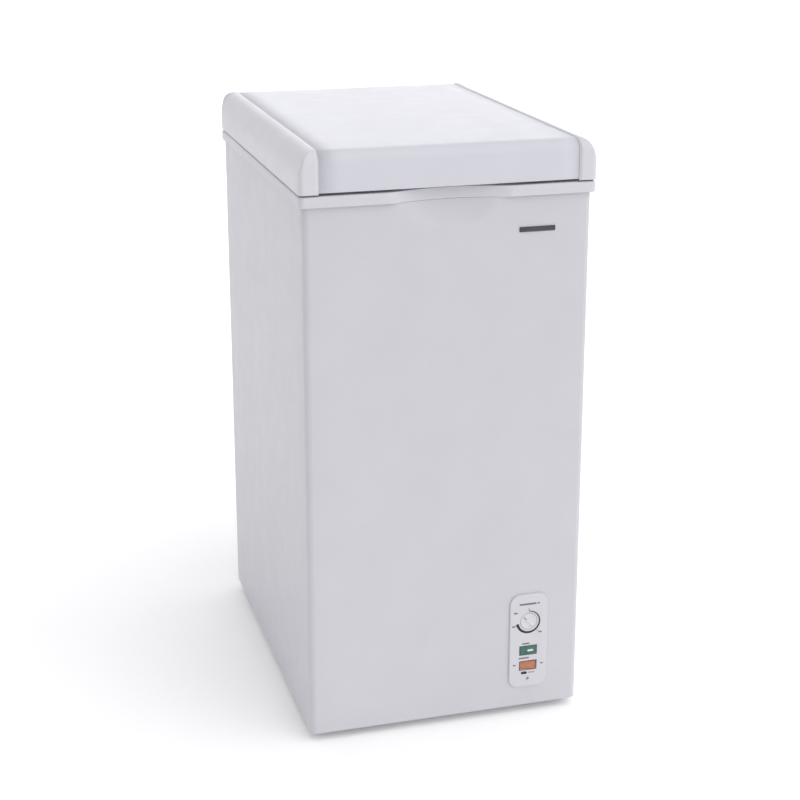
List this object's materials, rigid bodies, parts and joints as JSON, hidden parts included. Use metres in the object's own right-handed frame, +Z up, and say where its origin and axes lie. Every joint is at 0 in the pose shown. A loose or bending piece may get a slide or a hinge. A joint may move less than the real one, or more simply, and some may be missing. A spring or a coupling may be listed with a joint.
{
  "type": "chest freezer",
  "caption": "Tall narrow top-opening chest freezer with a hinged lid, wire basket, low front control panel and a drain at the rear.",
  "frame": {"origin": "on the floor, under the middle of the outline box", "axes": "+Z up, -Y is the front with the control panel, +X to the right as seen from the front"},
  "size_m": [0.41, 0.57, 0.845],
  "materials": {
    "white_steel": "white powder paint",
    "lid_steel": "white powder paint",
    "galvanised": "galvanised",
    "liner_white": "stucco-embossed white aluminium",
    "rim_plastic": "fine matte",
    "cap_plastic": "fine matte",
    "lid_inner_plastic": "vacuum-formed white",
    "foam": "rigid foam",
    "gasket": "soft grey-white",
    "zinc_steel": "zinc plated",
    "black_plastic": "matte",
    "black_steel": "semi-gloss black",
    "rubber": "matte",
    "plug_rubber": "matte light grey",
    "relay_plastic": "matte",
    "copper": "drawn copper",
    "tube_steel": "copper-washed steel",
    "aluminium_tube": "drawn",
    "grey_plastic": "matte",
    "panel_plastic": "fine matte white",
    "knob_plastic": "satin white",
    "green_lens": "tinted green",
    "orange_plastic": "tinted orange",
    "cable_grey": "sleeved cable",
    "badge_dark": "dark grey",
    "hinge_steel": "zinc plated",
    "coated_wire": "white dip coating on steel wire"
  },
  "bodies": {
    "cabinet": {"outer_shell": "white_steel", "back_panel": "galvanised", "inner_liner": "liner_white", "rim_collar": "rim_plastic", "insulation_foam": "foam", "deck_plate": "galvanised", "base_pan": "galvanised", "base_studs": "zinc_steel", "front_left_foot": "black_plastic", "front_right_foot": "black_plastic", "rear_left_foot": "black_plastic", "rear_right_foot": "black_plastic", "compressor": "black_steel", "compressor_mount_plate": "black_steel", "compressor_grommets": "rubber", "terminal_cover": "black_plastic", "start_relay": "relay_plastic", "suction_pipe": "copper", "discharge_pipe": "copper", "filter_drier": "copper", "capillary_tube": "copper", "condenser_tube": "tube_steel", "evaporator_tube": "aluminium_tube", "rear_cover": "galvanised", "rear_screws": "zinc_steel", "cord_gland": "rubber", "drain_pipe": "grey_plastic", "control_panel": "panel_plastic", "control_box": "grey_plastic", "thermostat": "grey_plastic", "power_lamp": "green_lens", "lamp_holder": "black_plastic", "switch_housing": "black_plastic", "wiring_harness": "cable_grey", "badge": "badge_dark", "left_hinge_bracket": "hinge_steel", "right_hinge_bracket": "hinge_steel", "hinge_pins": "zinc_steel"},
    "lid": {"lid_panel": "lid_steel", "left_end_cap": "cap_plastic", "right_end_cap": "cap_plastic", "lid_inner_panel": "lid_inner_plastic", "lid_foam": "foam", "lid_gasket": "gasket", "left_hinge_leaf": "hinge_steel", "right_hinge_leaf": "hinge_steel", "leaf_screws": "zinc_steel"},
    "basket": {"basket_top_rail": "coated_wire", "basket_lower_rail": "coated_wire", "basket_floor_wires": "coated_wire", "basket_front_wires": "coated_wire", "basket_rear_wires": "coated_wire", "basket_left_wires": "coated_wire", "basket_right_wires": "coated_wire", "basket_handles": "coated_wire"},
    "knob": {"temperature_knob": "knob_plastic", "thermostat_shaft": "zinc_steel"},
    "rocker": {"quick_freeze_rocker": "orange_plastic"},
    "drain_plug": {"drain_plug": "plug_rubber"},
    "drain_cap": {"drain_cap": "black_plastic"}
  },
  "joints": [
    {"name": "lid_hinge", "type": "hinge", "parent": "cabinet", "child": "lid", "pos_m": [0, 0.2775, 0.784], "axis": [-1, 0, 0], "range_deg": [0, 85]},
    {"name": "basket_slide", "type": "slide", "parent": "cabinet", "child": "basket", "axis": [0, -1, 0], "range_m": [0, 0.2]},
    {"name": "knob_turn", "type": "hinge", "parent": "cabinet", "child": "knob", "pos_m": [0.1227, -0.276, 0.1466], "axis": [0, 1, 0], "range_deg": [0, 285]},
    {"name": "rocker_tilt", "type": "hinge", "parent": "cabinet", "child": "rocker", "pos_m": [0.1227, -0.275, 0.077], "axis": [0, 0, 1], "range_deg": [0, 14]},
    {"name": "drain_plug_pull", "type": "slide", "parent": "cabinet", "child": "drain_plug", "axis": [0, 0, 1], "range_m": [0, 0.05]},
    {"name": "drain_cap_pull", "type": "slide", "parent": "cabinet", "child": "drain_cap", "axis": [0, 1, 0], "range_m": [0, 0.025]}
  ]
}
